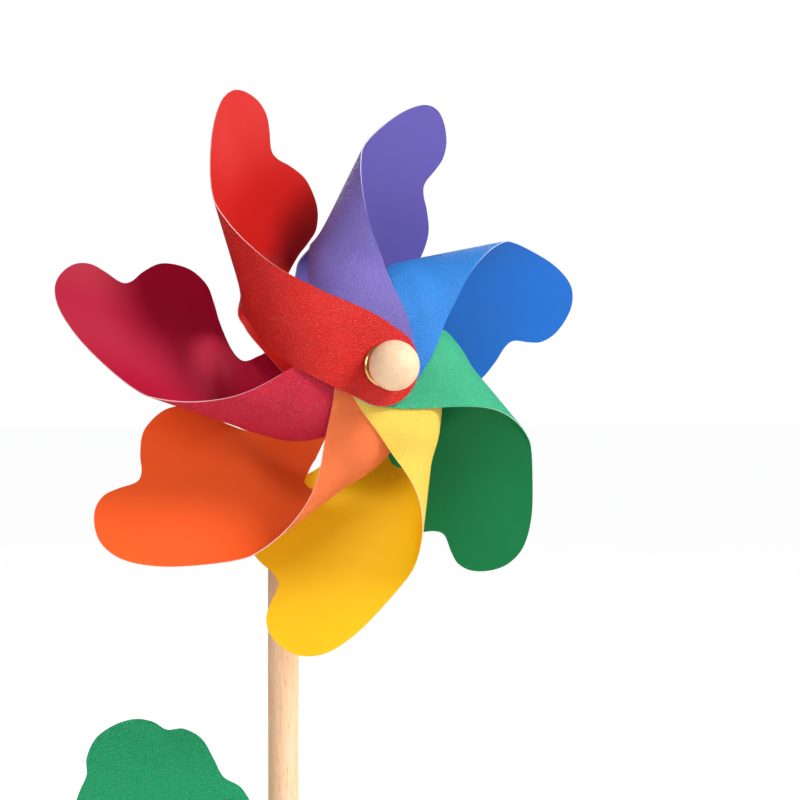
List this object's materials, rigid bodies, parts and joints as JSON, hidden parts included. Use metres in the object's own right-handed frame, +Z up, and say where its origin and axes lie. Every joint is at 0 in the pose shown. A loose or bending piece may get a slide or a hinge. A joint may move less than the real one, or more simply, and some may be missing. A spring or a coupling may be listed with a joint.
{
  "type": "whirligig",
  "caption": "Garden whirligig: a pinwheel of curled rainbow-coloured plastic petals on an axle at the top of a round wooden stick, with a scalloped green leaf lower down.",
  "frame": {"origin": "centre of the stick's flat lower end", "axes": "+Z up along the stick, the wheel faces -Y and its axle lies along Y"},
  "size_m": [0.2114, 0.1325, 0.5433],
  "materials": {
    "beech": "fine sanded wood, unvarnished",
    "polished_brass": "polished",
    "washer_pale": "satin",
    "steel": "drawn wire",
    "brass": "satin",
    "red_sheet": "leather-grained sheet",
    "purple_sheet": "leather-grained sheet",
    "blue_sheet": "leather-grained sheet",
    "green_sheet": "leather-grained sheet",
    "yellow_sheet": "leather-grained sheet",
    "orange_sheet": "leather-grained sheet",
    "magenta_sheet": "leather-grained sheet",
    "leaf_sheet": "leather-grained sheet"
  },
  "bodies": {
    "stick": {"stick": "beech", "leaf": "leaf_sheet", "leaf_pin_lower": "brass", "leaf_pin_upper": "brass", "stand_off_bead": "beech", "stick_washer": "washer_pale"},
    "wheel": {"petal_red": "red_sheet", "petal_purple": "purple_sheet", "petal_blue": "blue_sheet", "petal_green": "green_sheet", "petal_yellow": "yellow_sheet", "petal_orange": "orange_sheet", "petal_magenta": "magenta_sheet", "front_knob": "beech", "front_washer": "polished_brass", "front_inner_washer": "washer_pale", "hub_spacer": "beech", "rear_inner_washer": "washer_pale", "rear_outer_washer": "washer_pale", "axle": "steel", "axle_cap": "beech"}
  },
  "joints": [
    {"name": "wheel_spin", "type": "hinge", "parent": "stick", "child": "wheel", "pos_m": [0, -0.092, 0.441], "axis": [0, 1, 0], "continuous": true}
  ]
}
